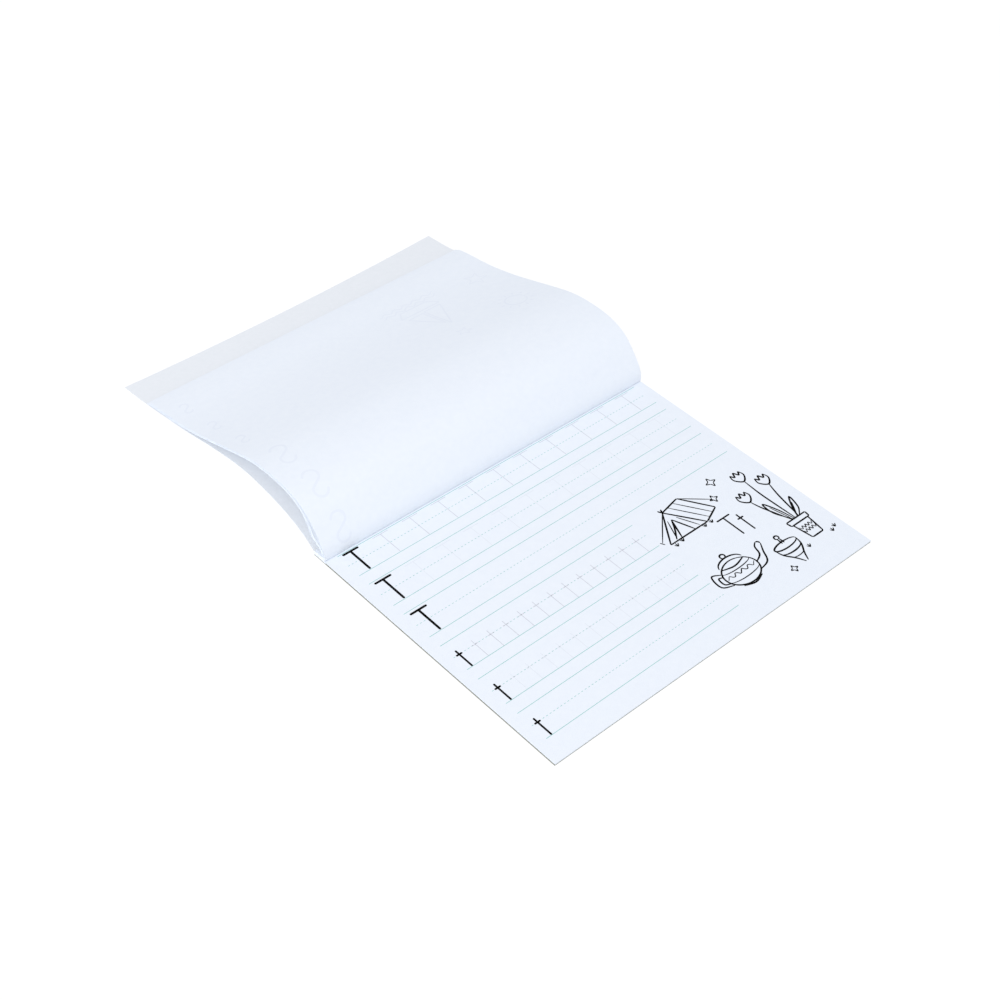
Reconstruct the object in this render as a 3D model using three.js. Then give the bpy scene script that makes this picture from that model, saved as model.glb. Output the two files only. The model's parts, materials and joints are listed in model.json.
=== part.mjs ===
// A top-bound tracing pad lying open on a table: a stiff back board, a block of thin paper leaves
// glued together along the head edge, and a light card cover. The cover and the first nineteen
// leaves are turned over the head and lie behind the pad; the last seven lie flat on the board.
// Millimetres. X runs across the page from left to right, Y from the reader towards the glued
// head, Z up. The origin is the centre of the board's underside.
import * as THREE from 'three';

// Paper, card and board
const pageWidth = 279.4;
const pageLength = 215.9;
const leafThickness = 0.1;
const leafGap = 0.02;
const boardThickness = 0.7;
const coverThickness = 0.26;
const glueThickness = 0.4;
const seat = 0.02;

// How the pad lies open
const flatLeaves = 7;
const turnedLeaves = 19;

// The fold of the turned leaves, which loop a little way forward before they go back
const boundDepth = 10.6;
const loopRadius = 0.5;
const endLean = 3;
const foldStep = 0.6;
const foldClearance = 0.05;
const crevice = 0.15;

// Side profile of the outermost turned leaf: how far along it from the fold, as a share of the
// page's length, and the direction in which it runs there, in degrees above straight back
const leafBend = [
  [0, 90], [0.046, 57], [0.116, 47], [0.185, 24], [0.255, 5], [0.347, -5], [0.463, -15], [0.65, -14],
  [0.81, -12.5], [1.04, -11],
];
// Further room between neighbouring leaves where they bow over the crown, and where that is widest,
// again as a share of the page's length
const crownSpread = 0.17;
const crownAt = 0.24;

// Side profile of the cover, in the same way, from its crease at the head
const coverBend = [
  [0, 39], [0.07, 23], [0.16, 12], [0.28, 4], [0.416, -9], [0.555, -11], [0.695, -7], [0.857, -8],
  [1.04, -5],
];
const creaseGap = 0.3;
const restHeight = 0.02;

const bendSteps = 30;
const arcSteps = 6;

// Heights and depths that follow from the sizes above
const leafPitch = leafThickness + leafGap;
const head = pageLength / 2;
const front = -pageLength / 2;
const boardTop = boardThickness;
const flatTop = boardTop + seat + flatLeaves * leafPitch;
const turnedDepth = turnedLeaves * leafPitch;
const foldRadius = loopRadius + turnedDepth;
const foldY = head - boundDepth;
const foldZ = flatTop + foldRadius;
const flatHingeY = foldY - foldStep;
const blockTop = flatTop + turnedDepth;

const rad = THREE.MathUtils.degToRad;

function paper(name, color) {
  return new THREE.MeshStandardMaterial({ name, color, roughness: 0.85, metalness: 0 });
}
const leafPaper = paper('white offset paper', 0xf3f6fb);
const edgePaper = paper('gummed leaf ends', 0xe9ecf0);
const coverCard = paper('uncoated cover card', 0xe9ecf1);
const chipboard = paper('grey chipboard', 0x9a9488);
const paddingGlue = paper('dried padding compound', 0xe8e9e6);

// A closed solid whose outline lies in the Y-Z plane and which runs across the page. The outline
// is given about the point `at`, which becomes the mesh's position.
function acrossPage(name, outline, at, material) {
  const shape = new THREE.Shape(outline.map(([y, z]) => new THREE.Vector2(y, z)));
  const geometry = new THREE.ExtrudeGeometry(shape, { depth: pageWidth, steps: 1, bevelEnabled: false });
  const turn = new THREE.Matrix4().makeBasis(
    new THREE.Vector3(0, 1, 0), new THREE.Vector3(0, 0, 1), new THREE.Vector3(1, 0, 0));
  geometry.applyMatrix4(turn);
  const mesh = new THREE.Mesh(geometry, material);
  mesh.name = name;
  mesh.position.set(-pageWidth / 2, at[0], at[1]);
  return mesh;
}

function slab(name, y0, y1, z0, z1, at, material) {
  return acrossPage(name, [[y0, z0], [y1, z0], [y1, z1], [y0, z1]], at, material);
}

// Points of a quarter turn or less about a centre, from one angle to another in degrees
function arc(centreY, centreZ, radius, fromDeg, toDeg) {
  const points = [];
  for (let i = 0; i <= arcSteps; i += 1) {
    const a = rad(fromDeg + ((toDeg - fromDeg) * i) / arcSteps);
    points.push([centreY + radius * Math.cos(a), centreZ + radius * Math.sin(a)]);
  }
  return points;
}

// Direction of a bent sheet at a share of its length, eased between the stations of its profile
function directionAt(bend, share) {
  let i = 0;
  while (i < bend.length - 2 && share > bend[i + 1][0]) i += 1;
  const [s0, a0] = bend[i];
  const [s1, a1] = bend[i + 1];
  const slope = (j) => {
    if (j <= 0 || j >= bend.length - 1) return 0;
    return (bend[j + 1][1] - bend[j - 1][1]) / (bend[j + 1][0] - bend[j - 1][0]);
  };
  const first = i === 0 ? (a1 - a0) / (s1 - s0) : slope(i);
  const span = s1 - s0;
  const t = Math.min((share - s0) / span, 1);
  const u = 1 - t;
  return rad(a0 * u * u * (1 + 2 * t) + a1 * t * t * (3 - 2 * t)
    + span * t * u * (first * u - slope(i + 1) * t));
}

// Stations along a bent sheet: distance, place and direction, closer together near its fold
function follow(bend, length) {
  const stations = [{ s: 0, y: 0, z: 0, a: directionAt(bend, 0) }];
  for (let i = 1; i <= bendSteps; i += 1) {
    const s = length * (i / bendSteps) ** 1.4;
    const last = stations[i - 1];
    const ds = s - last.s;
    const middle = directionAt(bend, (last.s + ds / 2) / pageLength);
    const y = last.y + ds * Math.cos(middle);
    const z = last.z + ds * Math.sin(middle);
    stations.push({ s, y, z, a: directionAt(bend, s / pageLength) });
  }
  return stations;
}

// Outline of a sheet that lies inside a bent line by `inset(s)`, cut at its own true length
function sheetOutline(stations, inset, thickness, length) {
  const side = (extra) => stations.map(({ s, y, z, a }) => {
    const d = inset(s) + extra;
    return [y + d * Math.sin(a), z - d * Math.cos(a)];
  });
  const outer = side(0);
  const inner = side(thickness);
  let left = length;
  let i = 1;
  const gap = (n) => Math.hypot(outer[n][0] - outer[n - 1][0], outer[n][1] - outer[n - 1][1]);
  while (i < outer.length - 1 && left > gap(i)) {
    left -= gap(i);
    i += 1;
  }
  const t = left / gap(i);
  const cut = (line) => [...line.slice(0, i), [
    line[i - 1][0] + (line[i][0] - line[i - 1][0]) * t,
    line[i - 1][1] + (line[i][1] - line[i - 1][1]) * t]];
  return [...cut(inner), ...cut(outer).reverse()];
}

const pad = new THREE.Group();

// Stiff grey back board, cut to the size of the page
pad.add(slab('backing_board', front, head, 0, boardTop, [0, 0], chipboard));

// Glued ends of all the leaves: the flat leaves' ends below, and above them the turned leaves'
// ends, which run forward and curl up to the fold
function boundEnds() {
  const bottom = boardTop + seat;
  const backOfLoop = foldY + foldRadius;
  const lift = THREE.MathUtils.radToDeg(Math.acos(1 - crevice / foldRadius));
  const outline = [[flatHingeY + seat, bottom], [head, bottom], [head, blockTop]];
  outline.push(...arc(backOfLoop, foldZ - foldClearance, loopRadius, 270, 180));
  outline.push(...arc(backOfLoop, foldZ - foldClearance, foldRadius, 180, 270 - lift));
  const foot = outline[outline.length - 1];
  outline.push([foot[0], flatTop - leafGap], [flatHingeY + seat, flatTop - leafGap]);
  return outline;
}
pad.add(acrossPage('bound_leaf_ends', boundEnds(), [0, 0], edgePaper));

// Film of padding compound brushed over the whole head edge
pad.add(slab('spine_glue', head + seat, head + seat + glueThickness, 0, blockTop, [0, 0], paddingGlue));

// Leaf nodes are numbered from the front of the pad, so the lowest flat leaf has the last number
function leafName(number) {
  return `leaf_${String(number).padStart(2, '0')}`;
}

// Flat leaves, from the one on the board up to the open page, about one shared hinge line
for (let i = 0; i < flatLeaves; i += 1) {
  const z0 = boardTop + seat + i * leafPitch - flatTop;
  const name = leafName(turnedLeaves + flatLeaves - i);
  pad.add(slab(name, front - flatHingeY, 0, z0, z0 + leafThickness, [flatHingeY, flatTop], leafPaper));
}

// Turned leaves, nested inside the outermost one. Each is as long as a flat leaf, less the run
// of its glued end up to the fold.
const leafLine = follow(leafBend, pageLength + boundDepth);
for (let k = 0; k < turnedLeaves; k += 1) {
  const spread = (s) => {
    const x = s / pageLength / crownAt;
    return k * (leafPitch + crownSpread * (x * Math.exp(1 - x)) ** 2);
  };
  const lean = endLean * (1 - k / turnedLeaves);
  const endRun = boundDepth - foldRadius - lean + (foldRadius - k * leafPitch) * Math.PI / 2;
  const outline = sheetOutline(leafLine, spread, leafThickness, pageLength - endRun);
  pad.add(acrossPage(leafName(turnedLeaves - k), outline, [foldY, foldZ], leafPaper));
}

// Card cover, creased at the head and lying back on the table
const coverLine = follow(coverBend, pageLength + boundDepth);
const coverOutline = sheetOutline(coverLine, () => 0, coverThickness, pageLength);
const coverLow = Math.min(...coverOutline.map(([, z]) => z));
const creaseY = head + seat + glueThickness + creaseGap;
pad.add(acrossPage('front_cover', coverOutline, [creaseY, restHeight - coverLow], coverCard));

export default pad;
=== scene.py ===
import json
import math
import bpy
import numpy as np
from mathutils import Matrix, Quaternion, Vector


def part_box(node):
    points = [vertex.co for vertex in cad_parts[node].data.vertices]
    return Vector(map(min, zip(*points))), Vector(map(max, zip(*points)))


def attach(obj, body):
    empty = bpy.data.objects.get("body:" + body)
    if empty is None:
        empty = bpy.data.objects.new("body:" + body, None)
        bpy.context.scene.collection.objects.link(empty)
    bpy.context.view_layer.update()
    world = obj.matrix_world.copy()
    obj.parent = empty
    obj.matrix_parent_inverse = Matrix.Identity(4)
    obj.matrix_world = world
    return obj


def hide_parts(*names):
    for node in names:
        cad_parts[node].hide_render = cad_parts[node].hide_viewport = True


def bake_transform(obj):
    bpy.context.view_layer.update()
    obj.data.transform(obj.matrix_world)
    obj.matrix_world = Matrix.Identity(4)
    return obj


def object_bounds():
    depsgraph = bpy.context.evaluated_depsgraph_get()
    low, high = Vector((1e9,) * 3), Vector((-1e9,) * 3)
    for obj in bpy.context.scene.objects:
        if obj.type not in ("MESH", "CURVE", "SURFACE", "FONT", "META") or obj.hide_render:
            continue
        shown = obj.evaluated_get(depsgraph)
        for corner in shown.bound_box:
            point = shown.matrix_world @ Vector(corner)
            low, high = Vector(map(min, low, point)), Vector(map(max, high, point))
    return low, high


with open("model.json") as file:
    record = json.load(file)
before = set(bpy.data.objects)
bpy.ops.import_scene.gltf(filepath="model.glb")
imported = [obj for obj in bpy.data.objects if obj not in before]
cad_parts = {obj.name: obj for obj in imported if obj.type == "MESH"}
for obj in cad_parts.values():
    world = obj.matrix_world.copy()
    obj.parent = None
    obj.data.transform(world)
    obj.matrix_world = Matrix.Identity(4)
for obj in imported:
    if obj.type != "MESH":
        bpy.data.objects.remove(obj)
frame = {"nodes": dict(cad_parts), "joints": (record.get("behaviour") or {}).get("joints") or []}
cad_low, cad_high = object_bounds()
joints = {joint["name"]: joint for joint in frame["joints"]}

# The photograph's view
# The camera stands to the left in front of the pad, a little over a metre away, and looks down on
# it at 43 degrees, rolled by 4 degrees. Lens and place put the page's four corners where they are
# in the photograph.
camera_place = Vector((-0.6106, -0.5188, 0.7795))
camera_aim = Vector((-0.0169, 0.0715, 0.0))
camera_roll = math.radians(3.99)
sensor_width = 36.0
focal_length_in_pixels = 1774.3
image_width_in_pixels = 1000.0
nearest_seen = 0.05
farthest_seen = 20.0

bpy.ops.object.camera_add(location=camera_place)
camera = bpy.context.object
camera.name = "camera"
camera.rotation_mode = "QUATERNION"
upright = (camera_aim - camera_place).to_track_quat("-Z", "Y")
camera.rotation_quaternion = upright @ Quaternion((0, 0, 1), camera_roll)
camera.data.sensor_width = sensor_width
camera.data.lens = sensor_width * focal_length_in_pixels / image_width_in_pixels
camera.data.clip_start = nearest_seen
camera.data.clip_end = farthest_seen
bpy.context.scene.camera = camera
bpy.context.scene.view_settings.view_transform = "Standard"


# Floor
# A smooth white table top, matt so that it only keeps a faint shadow of the pad. Seen straight on
# it is as white as the photograph's background.
floor_side = 8.0
floor_below = 0.00005
floor_white = "f4f6f8"
floor_roughness = 0.9
floor_gloss = 0.1
floor_seen_white = 1.06
floor_seen_share = 0.88


def linear(colour):
    """An sRGB colour such as "f1f6fc" as the linear values that a shader takes."""
    channels = [int(colour[i:i + 2], 16) / 255 for i in (0, 2, 4)]
    return [c / 12.92 if c <= 0.04045 else ((c + 0.055) / 1.055) ** 2.4 for c in channels] + [1.0]


def add_node(tree, kind, inputs, **settings):
    """Adds a node with its settings, and gives each of its inputs a value or a link."""
    node = tree.nodes.new("ShaderNode" + kind)
    for name, value in settings.items():
        setattr(node, name, value)
    for socket, value in inputs.items():
        if isinstance(value, bpy.types.NodeSocket):
            tree.links.new(value, node.inputs[socket])
        else:
            node.inputs[socket].default_value = value
    return node


def start_material(name):
    """A new material with its node tree and its shader."""
    material = bpy.data.materials.new(name)
    material.use_nodes = True
    return material, material.node_tree, material.node_tree.nodes["Principled BSDF"]


bpy.ops.object.select_all(action="DESELECT")
bpy.ops.mesh.primitive_plane_add(size=floor_side, location=(0, 0, -floor_below))
floor = bpy.context.object
floor.name = "table_top"

table_white, tree, surface = start_material("matt white table top")
surface.inputs["Base Color"].default_value = linear(floor_white)
surface.inputs["Roughness"].default_value = floor_roughness
surface.inputs["Specular IOR Level"].default_value = floor_gloss
rays = add_node(tree, "LightPath", {})
share = add_node(
    tree, "Math", {0: rays.outputs["Is Camera Ray"], 1: floor_seen_share}, operation="MULTIPLY")
glow = add_node(tree, "Emission", {"Color": linear("ffffff"), "Strength": floor_seen_white})
both = add_node(tree, "MixShader", {0: share.outputs[0], 1: surface.outputs[0], 2: glow.outputs[0]})
tree.links.new(both.outputs[0], tree.nodes["Material Output"].inputs["Surface"])
floor.data.materials.append(table_white)


# Light
# An evenly lit white room gives most of the light and reaches in under the turned leaves. One large
# soft lamp stands high up on the left and a little to the front, so that the fold of the turned
# leaves is bright and its shadows fall to the right.
room_white = "fbfcff"
room_light = 0.72
room_seen_white = 1.0
lamp_place = Vector((-3.8, -1.0, 2.8))
lamp_aim = Vector((0.0, 0.08, 0.0))
lamp_side = 3.4
lamp_watts = 137.0

room = bpy.data.worlds.new("white room")
bpy.context.scene.world = room
room.use_nodes = True
tree = room.node_tree
tree.nodes.clear()
rays = add_node(tree, "LightPath", {})
lit = add_node(tree, "Background", {"Color": linear(room_white), "Strength": room_light})
seen = add_node(tree, "Background", {"Color": linear("ffffff"), "Strength": room_seen_white})
both = add_node(
    tree, "MixShader", {0: rays.outputs["Is Camera Ray"], 1: lit.outputs[0], 2: seen.outputs[0]})
add_node(tree, "OutputWorld", {"Surface": both.outputs[0]})

bpy.ops.object.light_add(type="AREA", location=lamp_place)
lamp = bpy.context.object
lamp.name = "soft_lamp"
lamp.rotation_mode = "QUATERNION"
lamp.rotation_quaternion = (lamp_aim - lamp_place).to_track_quat("-Z", "Y")
lamp.data.size = lamp_side
lamp.data.energy = lamp_watts


# Back board
# A sheet of grey chipboard, pressed from waste paper and cut to the page with a guillotine. It is
# the stiff layer that the whole pad lies on, and only its cut edges show.
board_cut_radius = 0.00009
board_grey = "94958c"
board_grey_fleck = "7a776c"
board_fleck_size = 0.0011
board_fleck_detail = 4.0
board_fleck_starts = 0.5
board_fleck_full = 0.78
board_fleck_strength = 0.75
board_ply_size = 0.00016
board_ply_detail = 3.0
board_ply_shortening = 0.12
board_bump = 0.5
board_bump_height = 0.00006
board_roughness = 0.92
board_gloss = 0.25
# The Mix node's sockets for colours, by number, because their names repeat
mix_share, mix_first, mix_second = 0, 6, 7
mixed_colour = 2


def finish_piece(piece, name, material, smooth_angle=30):
    """Names a piece, gives it its material and shades it smooth up to an angle."""
    piece.name = name
    piece.data.name = name
    piece.data.materials.clear()
    piece.data.materials.append(material)
    bpy.ops.object.select_all(action="DESELECT")
    piece.select_set(True)
    bpy.context.view_layer.objects.active = piece
    bpy.ops.object.shade_smooth_by_angle(angle=math.radians(smooth_angle))
    return piece


def apply_modifier(piece, kind, **settings):
    """Adds a modifier with its settings and applies it."""
    modifier = piece.modifiers.new(kind.lower(), kind)
    for name, value in settings.items():
        setattr(modifier, name, value)
    bpy.context.view_layer.objects.active = piece
    bpy.ops.object.modifier_apply(modifier=modifier.name)


def add_slab(low, high):
    """A block between two corners, with its place in its mesh."""
    bpy.ops.object.select_all(action="DESELECT")
    bpy.ops.mesh.primitive_cube_add(size=1)
    slab = bpy.context.object
    bpy.ops.object.mode_set(mode="EDIT")
    bpy.ops.transform.resize(value=high - low)
    bpy.ops.transform.translate(value=(high + low) / 2)
    bpy.ops.object.mode_set(mode="OBJECT")
    return slab


chipboard, tree, surface = start_material("grey chipboard")
place = add_node(tree, "TexCoord", {})
flecks = add_node(tree, "TexNoise", {
    "Vector": place.outputs["Object"], "Scale": 1 / board_fleck_size, "Detail": board_fleck_detail})
plies = add_node(tree, "Mapping", {
    "Vector": place.outputs["Object"], "Scale": (board_ply_shortening, board_ply_shortening, 1.0)})
fibres = add_node(tree, "TexNoise", {
    "Vector": plies.outputs[0], "Scale": 1 / board_ply_size, "Detail": board_ply_detail})
fleck_mask = add_node(tree, "MapRange", {
    "Value": flecks.outputs["Fac"], "From Min": board_fleck_starts, "From Max": board_fleck_full,
    "To Max": board_fleck_strength})
mixed = add_node(tree, "Mix", {
    mix_share: fleck_mask.outputs[0], mix_first: linear(board_grey),
    mix_second: linear(board_grey_fleck)}, data_type="RGBA")
bump = add_node(tree, "Bump", {
    "Height": fibres.outputs["Fac"], "Strength": board_bump, "Distance": board_bump_height})
tree.links.new(mixed.outputs[mixed_colour], surface.inputs["Base Color"])
tree.links.new(bump.outputs[0], surface.inputs["Normal"])
surface.inputs["Roughness"].default_value = board_roughness
surface.inputs["Specular IOR Level"].default_value = board_gloss

board = add_slab(*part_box("backing_board"))
apply_modifier(board, "BEVEL", width=board_cut_radius, segments=2, limit_method="ANGLE")
finish_piece(board, "chipboard_back", chipboard)
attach(board, "pad")
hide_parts("backing_board")


# Leaf paper
# White offset paper of about 80 grams a square metre, uncoated, so that it is matt and slightly
# blue from its brightener. Its faint cloudiness and the grain of its fibres are drawn a little
# coarser than they are, to show at all.
paper_white = "f1f6fd"
paper_cloud = "ebf1fa"
paper_cloud_size = 0.004
paper_fibre_size = 0.0004
paper_bump = 0.12
paper_bump_height = 0.00004
paper_roughness = 0.88
paper_gloss = 0.3
cloud_detail = 3.0
fibre_detail = 2.0


def start_paper(name, white, cloud, cloud_size, fibre_size, bump_share, bump_height, roughness):
    """Uncoated paper or card: a white and its clouds, and the fine relief of its fibres."""
    paper, tree, surface = start_material(name)
    place = add_node(tree, "TexCoord", {})
    clouds = add_node(tree, "TexNoise", {
        "Vector": place.outputs["Object"], "Scale": 1 / cloud_size, "Detail": cloud_detail})
    fibres = add_node(tree, "TexNoise", {
        "Vector": place.outputs["Object"], "Scale": 1 / fibre_size, "Detail": fibre_detail})
    mixed = add_node(tree, "Mix", {
        mix_share: clouds.outputs["Fac"], mix_first: linear(white), mix_second: linear(cloud)},
        data_type="RGBA")
    bump = add_node(tree, "Bump", {
        "Height": fibres.outputs["Fac"], "Strength": bump_share, "Distance": bump_height})
    tree.links.new(mixed.outputs[mixed_colour], surface.inputs["Base Color"])
    tree.links.new(bump.outputs[0], surface.inputs["Normal"])
    surface.inputs["Roughness"].default_value = roughness
    surface.inputs["Specular IOR Level"].default_value = paper_gloss
    return paper


offset_paper = start_paper("uncoated white offset paper", paper_white, paper_cloud, paper_cloud_size,
                           paper_fibre_size, paper_bump, paper_bump_height, paper_roughness)


# Turned leaves
# Nineteen printed leaves turned over the head. Each starts from the fold where its glued end curls
# up, bows over and comes down behind the pad, inside the leaf above it. They part in small bunches
# above the fold, and settle towards the cover further on. A leaf is a flat sheet cut to size and
# then laid along the side line of its solid in the model.
page_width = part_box("backing_board")[1].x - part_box("backing_board")[0].x
half_width = page_width / 2
leaf_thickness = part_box("leaf_20")[1].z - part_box("leaf_20")[0].z
millimetre = 0.001
same_corner = 0.00005
line_steps = 4
sheet_columns = 24
leaf_rows = 100
# Printed leaves have more rows, so that the print lies close on them as they bend
printed_leaf_rows = 420
turned_names = [f"leaf_{number:02d}" for number in range(19, 0, -1)]
flat_names = [f"leaf_{number:02d}" for number in range(20, 27)]
printed_names = ("leaf_19", "leaf_20", "leaf_21")
bunch_size = 5
bunch_recess = 0.0005
# Places along a leaf from its fold, in millimetres, and what the leaves lie off their solids there:
# all of them by the same, outwards for each leaf further in, and inwards for each further bunch
stations = (0, 5, 14, 24, 37, 52, 85, 118, 150, 175, 195, 206)
settling = (0, 0, 0, 0, 0.1, 0.2, 0.7, -0.3, -1.9, -1.9, -0.4, 0)
closing = (0, 0.01, 0.05, 0.1, 0.13, 0.15, 0.12, 0.06, 0.02, 0.01, 0, 0)
opening = (0, 0.35, 1.9, 1.5, 0.8, 0.45, 0.15, 0.06, 0, 0, 0, 0)
fan_error = 0.0003
trim_error = 0.00012
leaf_skew = 0.0025
fold = Vector(joints["leaf_18_fold"]["pos_m"])
error_seed = 20
rng = np.random.default_rng(error_seed)


def middle_line(node):
    """The line halfway through a bent sheet's solid, from its fold to its free edge, as Y and Z."""
    corners = np.array([v.co for v in frame["nodes"][node].data.vertices])
    edge = corners[corners[:, 0] < corners[:, 0].min() + same_corner][:, 1:]
    edge = np.unique(edge.round(7), axis=0)
    apart = np.linalg.norm(edge[:, None] - edge[None], axis=2)
    np.fill_diagonal(apart, 1)
    middle = (edge + edge[apart.argmin(axis=1)]) / 2
    middle = middle[middle[:, 0].argsort()]
    fresh = np.append(True, np.linalg.norm(np.diff(middle, axis=0), axis=1) > same_corner)
    return middle[fresh]


def smooth(line, steps):
    """Points of a smooth curve through a line's own points, with so many steps to each stretch."""
    line = np.array(line, float)
    points = np.vstack([2 * line[0] - line[1], line, 2 * line[-1] - line[-2]])
    t = np.arange(steps)[:, None] / steps
    curve = [b + t / 2 * (c - a + t * (2 * a - 5 * b + 4 * c - d + t * (3 * (b - c) + d - a)))
             for a, b, c, d in zip(points, points[1:], points[2:], points[3:])]
    return np.vstack(curve + [line[-1:]])


def run_along(line):
    """Distance along a line at each of its points."""
    return np.append(0, np.linalg.norm(np.diff(line, axis=0), axis=1).cumsum())


def direction(line):
    """Direction of a line at each of its points."""
    way = np.gradient(line, run_along(line), axis=0)
    return way / np.linalg.norm(way, axis=1)[:, None]


def push_line(line, pushes):
    """Moves a line's points off it, by an amount at each distance along it, both in millimetres."""
    way = direction(line)
    places, amounts = smooth(pushes, line_steps).T * millimetre
    amount = np.interp(run_along(line), places, amounts)
    return line + amount[:, None] * np.column_stack([-way[:, 1], way[:, 0]])


def cut_sheet(length, thickness, rows, columns=sheet_columns):
    """A flat sheet as wide as the page, with Y as the distance from its first edge."""
    bpy.ops.object.select_all(action="DESELECT")
    bpy.ops.mesh.primitive_grid_add(x_subdivisions=columns, y_subdivisions=rows, size=1)
    sheet = bpy.context.object
    bpy.ops.object.mode_set(mode="EDIT")
    bpy.ops.transform.resize(value=(page_width, length, 1))
    bpy.ops.transform.translate(value=(0, length / 2, 0))
    bpy.ops.object.mode_set(mode="OBJECT")
    apply_modifier(sheet, "SOLIDIFY", thickness=thickness, offset=0)
    return sheet


def lay_along(piece, line, shift=0.0, skew=0.0, bow=0.0):
    """Lays a flat piece along a line: its Y becomes the distance along it and its Z the height over it.
    The far end of a skewed piece lies further back on the right than on the left, and the far end of
    a bowed one less far back in its middle."""
    co = np.empty(len(piece.data.vertices) * 3)
    piece.data.vertices.foreach_get("co", co)
    x, along, height = co.reshape(-1, 3).T.copy()
    run = run_along(line)
    y, z, way_y, way_z = (np.interp(along, run, column) for column in (*line.T, *direction(line).T))
    across = x / half_width
    y = y - height * way_z + (skew * across - bow * (1 - across ** 2)) * (along / run[-1]) ** 2
    z = z + height * way_y
    piece.data.vertices.foreach_set("co", np.column_stack([x + shift, y, z]).ravel())
    piece.data.update()


leaf_lines = {}
leaf_shifts = {}
for place, name in enumerate(turned_names):
    bunch = place // bunch_size
    pushes = np.array(settling) + place * np.array(closing) - bunch * np.array(opening)
    line = push_line(smooth(middle_line(name), line_steps), np.column_stack([stations, pushes]))
    leaf_lines[name] = line
    leaf_shifts[name] = rng.uniform(-fan_error, fan_error) + bunch % 2 * bunch_recess
    rows = printed_leaf_rows if name in printed_names else leaf_rows
    leaf = cut_sheet(run_along(line)[-1], leaf_thickness, rows)
    lay_along(leaf, line, leaf_shifts[name], leaf_skew)
    finish_piece(leaf, f"turned_{name}", offset_paper)
    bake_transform(leaf)
    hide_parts(name)


# Flat leaves
# The seven leaves that are still to be used lie on the board, the open page on top. Their edges
# were cut in one stroke, and have since moved by about a tenth of a millimetre. All lie a little
# to the right, so that the grey board shows along their left edge.
board_shows = 0.00035
flat_rows = 60
flat_hinge = Vector(joints["leaf_21_fold"]["pos_m"])

for name in flat_names:
    low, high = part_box(name)
    middle = (low.z + high.z) / 2
    leaf_lines[name] = np.array([[low.y, middle], [high.y, middle]])
    leaf_shifts[name] = board_shows + rng.uniform(-trim_error, trim_error)
    rows = printed_leaf_rows if name in printed_names else flat_rows
    leaf = cut_sheet(high.y - low.y, leaf_thickness, rows)
    lay_along(leaf, leaf_lines[name], leaf_shifts[name])
    finish_piece(leaf, f"flat_{name}", offset_paper)
    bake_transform(leaf)
    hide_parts(name)


# Glued ends of the leaves
# The last centimetre of every leaf, which the glue holds. The flat leaves' ends run straight on to
# the head. The turned leaves' ends lie on them, each one turned up in a tight corner at its front.
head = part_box("backing_board")[1].y
fold_radius = fold.z - flat_hinge.z
curl_steps = 24
curl_roundness = 0.4
end_rows = 70
end_columns = 4

ends = []
for name in flat_names:
    middle = leaf_lines[name][0][1]
    ends.append(np.array([[flat_hinge.y, middle], [head, middle]]))
for name in turned_names:
    start = leaf_lines[name][0]
    radius = fold.y + fold_radius - start[0]
    turn = np.radians(np.linspace(0, 90, curl_steps))
    forward = radius * np.cos(turn).clip(0, 1) ** curl_roundness
    down = radius * np.sin(turn).clip(0, 1) ** curl_roundness
    curl = np.column_stack([fold.y + fold_radius - forward, fold.z - down])
    ends.append(np.vstack([curl, [head, fold.z - radius]])[::-1])

strips = []
for line in ends:
    strip = cut_sheet(run_along(line)[-1], leaf_thickness, end_rows, end_columns)
    lay_along(strip, line)
    strips.append(strip)
bpy.ops.object.select_all(action="DESELECT")
for strip in strips:
    strip.select_set(True)
bpy.context.view_layer.objects.active = strips[0]
bpy.ops.object.join()
glued_ends = finish_piece(strips[0], "glued_leaf_ends", offset_paper)
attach(glued_ends, "pad")
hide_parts("bound_leaf_ends")


# Writing lines
# Each leaf is printed on its front by an offset press. Six bands of writing lines in a teal tint
# have a solid top line and base line and a dashed line halfway. The ink film is a few thousandths
# of a millimetre thick, and is drawn a little thicker.
ink_height = 0.00001
ink_step = 0.000001
ink_steps = 4
line_tops = (204.1, 173.5, 140.8, 107.4, 73.9, 40.3)
line_bases = (182.8, 150.3, 117.0, 83.5, 49.9, 16.3)
lines_left = 8.6
lines_right = 271.6
lines_right_beside_picture = 171.0
rule_width = 0.4
dash_pitch = 2.82
dash_length = 1.4
dash_width = 0.36
rule_teal = "88c5c1"
rule_teal_thin = "a0d1cd"
ink_roughness = 0.8
ink_gloss = 0.06
round_end = np.radians([15, 40, 65, 90])
same_station = 4
swell_fullness = 0.6


def start_ink(name, colour, mottle, roughness=ink_roughness):
    """Printing ink: one colour, a little uneven where the paper's fibres took less of it."""
    ink, tree, surface = start_material(name)
    place = add_node(tree, "TexCoord", {})
    fibres = add_node(tree, "TexNoise", {
        "Vector": place.outputs["Object"], "Scale": 1 / paper_fibre_size})
    mixed = add_node(tree, "Mix", {
        mix_share: fibres.outputs["Fac"], mix_first: linear(colour), mix_second: linear(mottle)},
        data_type="RGBA")
    tree.links.new(mixed.outputs[mixed_colour], surface.inputs["Base Color"])
    surface.inputs["Roughness"].default_value = roughness
    surface.inputs["Specular IOR Level"].default_value = ink_gloss
    return ink


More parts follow.
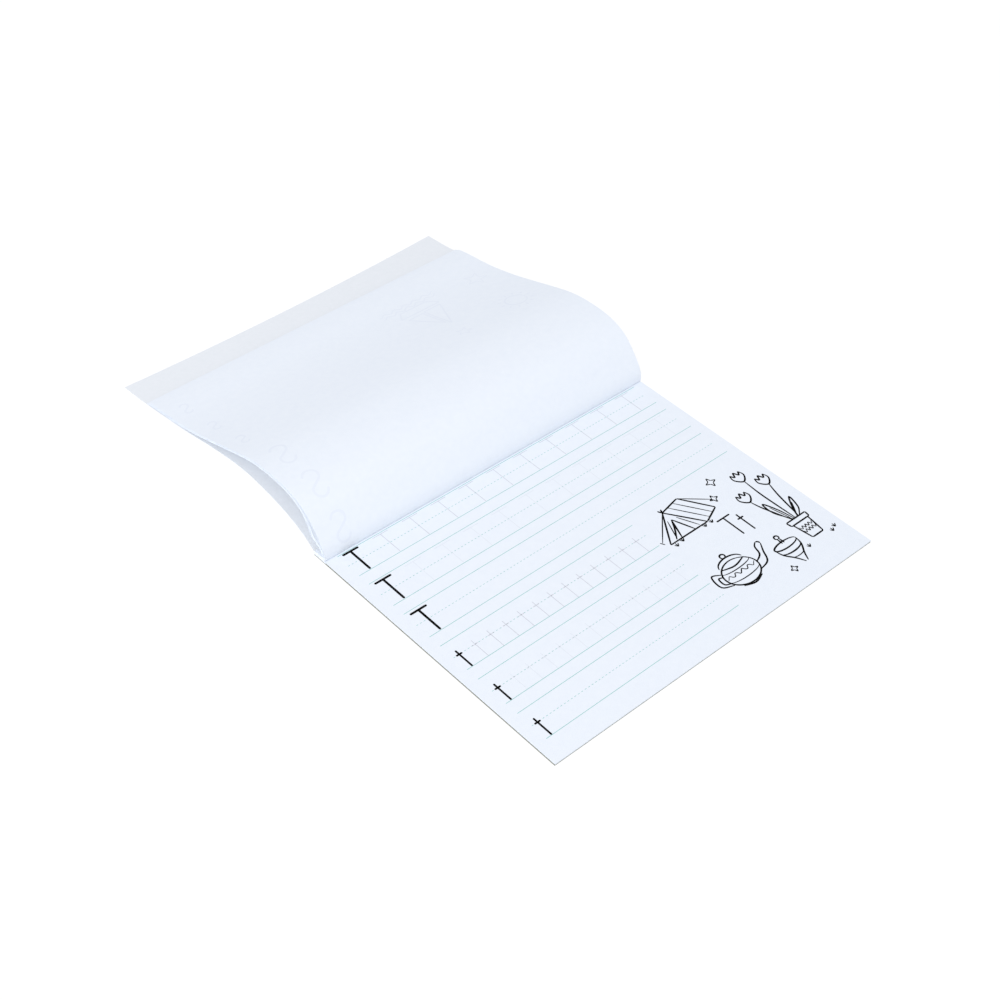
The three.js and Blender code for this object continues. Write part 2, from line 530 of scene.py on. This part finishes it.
def pen_line(points, width, steps=1, thin_ends=1.0):
    """A stroke through points in millimetres on the page, as rows of x, y and half its width there.
    Its ends are round, and they are thinner than its middle by a share."""
    line = smooth(points, steps)
    run = run_along(line)
    radius = width / 2
    ends = radius * (1 - np.cos(round_end))
    along = np.concatenate([ends, run, run[-1] - ends]).clip(ends[0], run[-1] - ends[0])
    along = np.unique(along.round(same_station))
    x, y = (np.interp(along, run, column) for column in line.T)
    to_end = np.minimum(along, run[-1] - along)
    rounded = np.sqrt(1 - (1 - (to_end / radius).clip(0, 1)) ** 2)
    middle = np.sin(np.pi * along / run[-1]).clip(0, 1) ** swell_fullness
    swell = thin_ends + (1 - thin_ends) * middle
    return np.column_stack([x, y, radius * rounded * swell])


def draw_ink(name, strokes, line, ink, shift=0.0, skew=0.0, under=False):
    """Draws strokes as a thin film on a sheet that lies along a line, on top of it or under it."""
    film = bpy.data.curves.new(name, "CURVE")
    film.dimensions = "3D"
    film.twist_mode = "Z_UP"
    film.bevel_depth = 1.0
    film.bevel_resolution = 1
    film.use_fill_caps = True
    for number, stroke in enumerate(strokes):
        spline = film.splines.new("POLY")
        spline.points.add(len(stroke) - 1)
        layer = ink_step * (number % ink_steps)
        for point, (x, y, half) in zip(spline.points, stroke * millimetre):
            point.co = (x - half_width, y, layer, 1)
            point.radius = half
    drawing = bpy.data.objects.new(name, film)
    bpy.context.collection.objects.link(drawing)
    bpy.ops.object.select_all(action="DESELECT")
    drawing.select_set(True)
    bpy.context.view_layer.objects.active = drawing
    bpy.ops.object.convert(target="MESH")
    bpy.ops.object.shade_flat()
    drawing = bpy.context.object
    for vertex in drawing.data.vertices:
        height = min(max(vertex.co.z, -ink_height), ink_height + ink_step * ink_steps)
        vertex.co.z = height + (-leaf_thickness if under else leaf_thickness) / 2
    lay_along(drawing, line, shift, skew)
    drawing.name = name
    drawing.data.name = name
    drawing.data.materials.append(ink)
    return drawing


def writing_lines(tops, bases, lengths):
    """The solid top and base lines of each band and its dashed line halfway."""
    strokes = []
    for top, base, right in zip(tops, bases, lengths):
        strokes += [pen_line([(lines_left, y), (right, y)], rule_width) for y in (top, base)]
        middle = (top + base) / 2
        for left in np.arange(lines_left, right - dash_length, dash_pitch):
            strokes.append(pen_line([(left, middle), (left + dash_length, middle)], dash_width))
    return strokes


teal_ink = start_ink("teal tint offset ink", rule_teal, rule_teal_thin)


def print_leaf(name, what, strokes, ink, show_through=False):
    """Prints strokes on a leaf's front, or draws them on its back where they show through, and lets
    them bend with the leaf. A turned leaf's page runs the other way, and its front is underneath."""
    line = leaf_lines[name]
    turned = name in turned_names
    if turned:
        length = run_along(line)[-1] / millimetre
        strokes = [stroke * (1, -1, 1) + (0, length, 0) for stroke in strokes]
    skew = leaf_skew if turned else 0.0
    under = turned != show_through
    drawing = draw_ink(f"{what}_{name}", strokes, line, ink, leaf_shifts[name], skew, under)
    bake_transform(drawing)


line_ends = [lines_right] * 3 + [lines_right_beside_picture] * 3
all_lines = writing_lines(line_tops, line_bases, line_ends)
for name in printed_names:
    print_leaf(name, "writing_lines", all_lines, teal_ink)


# Letters to trace and to copy
# One letter of the alphabet on each leaf, capital on the upper three bands and small on the lower
# three. The first of each band is black, and on the first and fourth bands it is repeated in a pale
# grey tint for tracing, and more faintly on the second and fifth.
letter_shapes = {
    "T": [[(-0.315, 1.0), (0.315, 1.0)], [(0.0, 1.0), (0.0, 0.02)]],
    "t": [[(0.0, 1.0), (0.0, 0.0)], [(-0.155, 0.76), (0.155, 0.76)]],
    "U": [[(-0.27, 1.0), (-0.27, 0.35), (-0.2, 0.1), (0.0, 0.01), (0.2, 0.1), (0.27, 0.35),
           (0.27, 1.0)]],
    "u": [[(-0.22, 0.76), (-0.22, 0.25), (-0.14, 0.06), (0.0, 0.01), (0.14, 0.08), (0.22, 0.28)],
          [(0.22, 0.76), (0.22, 0.0)]],
    "S": [[(0.24, 0.8), (0.13, 0.95), (-0.05, 1.0), (-0.22, 0.88), (-0.22, 0.67), (0.0, 0.52),
           (0.22, 0.36), (0.25, 0.15), (0.09, 0.01), (-0.12, 0.02), (-0.26, 0.18)]],
    "s": [[(0.16, 0.62), (0.08, 0.73), (-0.04, 0.76), (-0.16, 0.68), (-0.15, 0.51), (0.0, 0.4),
           (0.16, 0.28), (0.17, 0.1), (0.06, 0.0), (-0.08, 0.01), (-0.18, 0.13)]],
}
letter_pairs = {"leaf_19": "Ss", "leaf_20": "Tt", "leaf_21": "Uu"}
letter_steps = 10
capital_below_line = 1.25
small_height = 15.7
capital_left = 17.9
small_left = 13.1
capital_width = 1.7
small_width = 1.35
trace_width = 0.5
capital_places = 41.9 + 23.94 * np.arange(10)
small_places = 25.7 + 12.4 * np.arange(12)
model_places = ((221.0, 55.8, 18.9), (230.0, 54.7, 17.1))
model_width = 1.25


def letter(shape, x, base, height, width):
    """The strokes of a letter that stands on a base line."""
    return [pen_line([(x + px * height, base + py * height) for px, py in points], width, letter_steps)
            for points in letter_shapes[shape]]


black_ink = start_ink("black offset ink", "070605", "131110")
trace_ink = start_ink("pale grey tint offset ink", "c9ccd6", "d9dce5")
faint_ink = start_ink("palest grey tint offset ink", "e3e8f1", "e9eef6")
hinge_on_page = (flat_hinge.y - cad_low.y) / millimetre
room_above = hinge_on_page - line_bases[0] - capital_width / 2
heights = [min(top - base - capital_below_line, room_above)
           for top, base in zip(line_tops[:3], line_bases[:3])]

for name, (capital, small) in letter_pairs.items():
    copied = []
    for base, height in zip(line_bases[:3], heights):
        copied += letter(capital, capital_left, base, height, capital_width)
    for base in line_bases[3:]:
        copied += letter(small, small_left, base, small_height, small_width)
    for shape, (x, base, height) in zip((capital, small), model_places):
        copied += letter(shape, x, base, height, model_width)
    print_leaf(name, "model_letters", copied, black_ink)
    for what, ink, first in (("tracing_letters", trace_ink, 0), ("faint_letters", faint_ink, 1)):
        traced = []
        for x in capital_places:
            traced += letter(capital, x, line_bases[first], heights[first], trace_width)
        for x in small_places:
            traced += letter(small, x, line_bases[first + 3], small_height, trace_width)
        print_leaf(name, what, traced, ink)


# Pictures
# To the right of the lower bands each leaf has a group of small line drawings, as if by a brush pen
# whose lines swell and thin. They are plain household things.
brush_steps = 5
brush_ends = 0.5
corner_ends = 0.75
fine_width = 0.85
brush_width = 1.3


def oval(x, y, half_wide, half_high, start=0, end=360, points=13):
    """Points of an oval or a part of one, from one angle to another in degrees."""
    turn = np.radians(np.linspace(start, end, points))
    return np.column_stack([x + half_wide * np.cos(turn), y + half_high * np.sin(turn)])


def brush(*lines, width=brush_width):
    """Brush strokes through lists of points in millimetres on the page."""
    return [pen_line(points, width, brush_steps, brush_ends) for points in lines]


def brush_corners(points, width=brush_width):
    """Brush strokes along a line with sharp corners, one for each straight stretch."""
    return [pen_line(pair, width, brush_steps, corner_ends) for pair in zip(points, points[1:])]


def teapot(x, y):
    """A round teapot with its lid, spout, handle and a wavy band."""
    band = np.linspace(-13, 13, 17)
    return brush(
        oval(x, y, 14, 11, 60, 425, 18),
        oval(x, y + 8.4, 10.5, 6, 8, 172, 7),
        [(x - 10.6, y + 8), (x, y + 5.6), (x + 10.6, y + 8)],
        oval(x, y + 16.2, 1.9, 1.8, -90, 270, 9),
        [(x + 13.2, y - 1), (x + 20, y + 2.5), (x + 22.6, y + 9), (x + 26, y + 11.8)],
        [(x + 10.5, y - 7), (x + 19.5, y - 4.5), (x + 24, y + 3), (x + 28, y + 9)],
        [(x + 26, y + 11.8), (x + 27.6, y + 10.8), (x + 28, y + 9)],
        [(x - 12.6, y + 5.5), (x - 19, y + 8), (x - 20.6, y - 2), (x - 12.6, y - 6)],
        [(x - 12.9, y + 3), (x - 16.6, y + 4), (x - 17.2, y - 1.5), (x - 13, y - 3.8)],
        [(x - 8.5, y - 10), (x, y - 12.4), (x + 8.5, y - 10)],
    ) + brush(
        np.column_stack([x + band, y + 1.3 * np.sin(band * 1.1)]),
        oval(x, y + 5.2, 12.4, 2.4, 190, 350, 9), oval(x, y - 2.6, 13.4, 3, 195, 345, 9),
        width=fine_width)


def tent(x, y):
    """A ridge tent with its door turned back, poles, guy ropes and pegs."""
    front = [(x - 17, y), (x, y + 24), (x + 17, y), (x - 17, y)]
    side = [(x, y + 24), (x + 17, y + 27.5), (x + 31, y + 6), (x + 17, y)]
    poles = [[(x, y + 24), (x - 1.6, y + 27)], [(x, y + 24), (x + 1.4, y + 27)]]
    ropes = [[(x, y + 24), (x - 20, y + 4.5)], [(x + 17, y + 27.5), (x + 35, y + 12)]]
    pegs = [[(x - 21.4, y + 5.6), (x - 19.6, y + 2.4)], [(x + 33.8, y + 13), (x + 35.6, y + 10)]]
    door = [[(x, y + 16), (x - 6.5, y)], [(x, y + 16), (x + 6, y)],
            [(x, y + 16), (x - 4.2, y + 9), (x - 10.5, y + 1)]]
    seams = [[(x + 6, y + 25.2), (x + 21.6, y + 2)], [(x + 11.5, y + 26.4), (x + 26.4, y + 4)],
             [(x - 3, y + 16.6), (x - 10, y + 1)], [(x + 4, y + 15.6), (x + 11, y + 1)]]
    strokes = brush_corners(front) + brush_corners(side) + brush(*poles, *door)
    return strokes + brush(*ropes, *pegs, *seams, width=fine_width)


def tulip(x, y, foot_x, foot_y):
    """A tulip on a curved stem."""
    cup = [(x - 4, y + 4), (x - 4.7, y - 1), (x, y - 5.5), (x + 4.7, y - 1), (x + 4, y + 4)]
    petals = [(x - 4, y + 4), (x - 2, y + 0.6), (x, y + 5), (x + 2, y + 0.6), (x + 4, y + 4)]
    stem = [(x, y - 5.5), ((x * 2 + foot_x) / 3 - 0.8, (y + foot_y) / 2 + 2), (foot_x, foot_y)]
    return brush(cup, stem) + brush_corners(petals)


def flower_pot(x, y):
    """Three tulips with leaves in a clay pot."""
    rim = [(x - 9, y), (x + 9, y), (x + 8.4, y - 4.2), (x - 8.4, y - 4.2), (x - 9, y)]
    sides = [(x - 7, y - 4.2), (x - 5, y - 19), (x + 5, y - 19), (x + 7, y - 4.2)]
    leaves = [[(x - 2, y), (x - 8, y + 12), (x - 7.4, y + 22), (x - 3.4, y + 12), (x - 1, y)],
              [(x + 2, y), (x + 6, y + 8), (x + 12, y + 16), (x + 9.4, y + 6), (x + 4, y)]]
    flowers = tulip(x, y + 50, x, y) + tulip(x + 11, y + 38, x + 3, y)
    flowers += tulip(x - 12, y + 34, x - 3, y)
    across = np.linspace(-5.6, 5.6, 9)
    waves = [np.column_stack([x + across, y - low + 1.2 * np.cos(across * 2.2)]) for low in (9, 12.5)]
    veins = [[(x - 2.6, y + 2), (x - 6.2, y + 17)], [(x + 3.4, y + 2), (x + 9.4, y + 11.6)]]
    strokes = flowers + brush_corners(rim) + brush_corners(sides) + brush(*leaves)
    return strokes + brush(*waves, *veins, width=fine_width)


def spinning_top(x, y):
    """A wooden spinning top with its knob and turned rings."""
    side = [(10, 0), (8.6, -6), (4, -12.5), (0.8, -18.6)]
    return brush(
        oval(x, y, 10, 3, 0, 370, 14), oval(x, y + 7.6, 1.7, 1.6, -90, 270, 9),
        [(x - 0.8, y + 6), (x - 0.9, y + 1.4)], [(x + 0.8, y + 6), (x + 0.9, y + 1.4)],
        [(x + px, y + py) for px, py in side], [(x - px, y + py) for px, py in side],
        oval(x, y - 5, 8.6, 2.6, 190, 350, 7),
    ) + brush(oval(x, y - 10.4, 5.4, 1.8, 195, 345, 7), width=fine_width)


def star(x, y, radius, points, inner):
    """A star's outline."""
    turn = np.radians(90 + np.arange(points * 2 + 1) * 180 / points)
    reach = np.where(np.arange(points * 2 + 1) % 2, radius * inner, radius)
    corners = np.column_stack([x + reach * np.cos(turn), y + reach * np.sin(turn)])
    return brush_corners(corners, fine_width)


def grass(x, y):
    """Three blades of grass."""
    tips = ((x - 1.6, y + 2.4), (x, y + 3.4), (x + 1.8, y + 2.6))
    return brush(*[[tip, (x, y)] for tip in tips], width=fine_width)


def umbrella(x, y):
    """An open umbrella with its ribs and hooked handle."""
    hollows = [oval(x + side, y, 5.5, 2.4, 180, 0, 6) for side in (-16.5, -5.5, 5.5, 16.5)]
    ribs = [[(x, y + 17), (x + side * 0.7, y + 11), (x + side, y)] for side in (-11, 0, 11)]
    handle = [(x, y), (x, y - 20), (x + 2.4, y - 24), (x + 5, y - 20.6)]
    tip = [(x, y + 17), (x, y + 20)]
    return brush(oval(x, y, 22, 17, 0, 180, 13), *hollows, handle, tip) + brush(*ribs, width=fine_width)


def sailing_boat(x, y):
    """A sailing boat with two sails on small waves."""
    hull = [(x - 17, y), (x - 12, y - 8), (x + 12, y - 8), (x + 18, y), (x - 17, y)]
    main_sail = [(x + 1, y + 34), (x + 1, y + 3), (x + 16, y + 3), (x + 1, y + 34)]
    fore_sail = [(x - 1, y + 30), (x - 14, y + 4), (x - 1, y + 4), (x - 1, y + 30)]
    swell = np.linspace(-26, 26, 25)
    waves = [np.column_stack([x + swell, y - low + 1.4 * np.sin(swell * 0.7)]) for low in (11, 15)]
    return (brush_corners(hull) + brush_corners(main_sail) + brush_corners(fore_sail)
            + brush(*waves))


def sun(x, y, radius):
    """The sun with its rays."""
    turn = np.radians(np.arange(0, 360, 30))
    rays = [[(x + radius * 1.3 * np.cos(a), y + radius * 1.3 * np.sin(a)),
             (x + radius * 1.7 * np.cos(a), y + radius * 1.7 * np.sin(a))] for a in turn]
    return brush(oval(x, y, radius, radius, 0, 370, 13), *rays)


things_with_t = teapot(194.5, 35) + tent(194, 79) + flower_pot(258, 45) + spinning_top(234, 33)
things_with_t += star(240, 103, 4.4, 4, 0.4) + star(230, 91, 3.6, 4, 0.4) + star(222, 15, 3.2, 4, 0.4)
for x, y in ((180, 75), (186, 76), (207, 76), (213, 76), (245, 21), (268, 21), (272, 23)):
    things_with_t += grass(x, y)
things_with_s = sailing_boat(200, 45) + sun(250, 92, 8)
things_with_s += star(196, 98, 6, 5, 0.42) + star(258, 40, 9, 5, 0.42)
things_with_u = umbrella(198, 86) + umbrella(252, 30)
print_leaf("leaf_19", "picture", things_with_s, black_ink)
print_leaf("leaf_20", "picture", things_with_t, black_ink)
print_leaf("leaf_21", "picture", things_with_u, black_ink)


# Print that shows through
# The paper is thin enough for the black of a page to show faintly on its back, turned over.
through_ink = start_ink("show-through on offset paper", "e8eef8", "ecf1fa", roughness=0.88)
shown = list(things_with_s)
for base, height in zip(line_bases[:3], heights):
    shown += letter("S", capital_left, base, height, capital_width)
for base in line_bases[3:]:
    shown += letter("s", small_left, base, small_height, small_width)
print_leaf("leaf_19", "show_through", shown, through_ink, show_through=True)


# Padding compound
# White glue that stays flexible, brushed along the clamped head edge in two coats and left to dry.
# It is a thin skin with a slight gloss and the streaks of the brush.
glue_white = "e8eaea"
glue_streak = "d9dcdc"
glue_edge_radius = 0.00012
streak_length = 0.03
streak_width = 0.0006
streak_detail = 3.0
glue_bump = 0.5
glue_bump_height = 0.00012
glue_roughness = 0.42

compound, tree, surface = start_material("dried white padding compound")
place = add_node(tree, "TexCoord", {})
stretched = add_node(tree, "Mapping", {
    "Vector": place.outputs["Object"], "Scale": (streak_width / streak_length, 1.0, 1.0)})
streaks = add_node(tree, "TexNoise", {
    "Vector": stretched.outputs[0], "Scale": 1 / streak_width, "Detail": streak_detail})
mixed = add_node(tree, "Mix", {
    mix_share: streaks.outputs["Fac"], mix_first: linear(glue_white), mix_second: linear(glue_streak)},
    data_type="RGBA")
bump = add_node(tree, "Bump", {
    "Height": streaks.outputs["Fac"], "Strength": glue_bump, "Distance": glue_bump_height})
tree.links.new(mixed.outputs[mixed_colour], surface.inputs["Base Color"])
tree.links.new(bump.outputs[0], surface.inputs["Normal"])
surface.inputs["Roughness"].default_value = glue_roughness

film = add_slab(*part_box("spine_glue"))
apply_modifier(film, "BEVEL", width=glue_edge_radius, segments=3, limit_method="ANGLE")
finish_piece(film, "padding_compound_film", compound)
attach(film, "pad")
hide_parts("spine_glue")


# Cover
# A sheet of light uncoated card in the page's size, creased at the head and turned over it. It
# bows up off the table and comes down behind the leaves, which are shorter by their glued ends.
card_white = "eff2f7"
card_cloud = "e9edf2"
card_cloud_size = 0.003
card_fibre_size = 0.0005
card_bump = 0.15
card_bump_height = 0.00005
card_roughness = 0.85
cover_thickness = 0.00026
cover_rows = 100
crease_reach = 0.00034
cover_skew = 0.004
cover_bow = 0.0034
# Places along the cover from its crease, and how far it lies above its solid there, in millimetres
cover_lifts = [(0, 0), (60, 0.3), (90, 0.9), (118, 1.4), (140, 0.8), (165, 0.1), (190, 0), (216, 0.5)]

cover_card = start_paper("light uncoated cover card", card_white, card_cloud, card_cloud_size,
                         card_fibre_size, card_bump, card_bump_height, card_roughness)
cover_line = push_line(smooth(middle_line("front_cover"), line_steps), cover_lifts)
first_step = cover_line[1] - cover_line[0]
reach = first_step / np.linalg.norm(first_step) * crease_reach
cover_line = np.vstack([cover_line[0] - reach, cover_line])
cover = cut_sheet(run_along(cover_line)[-1], cover_thickness, cover_rows)
lay_along(cover, cover_line, skew=cover_skew, bow=cover_bow)
finish_piece(cover, "turned_front_cover", cover_card)
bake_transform(cover)
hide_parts("front_cover")
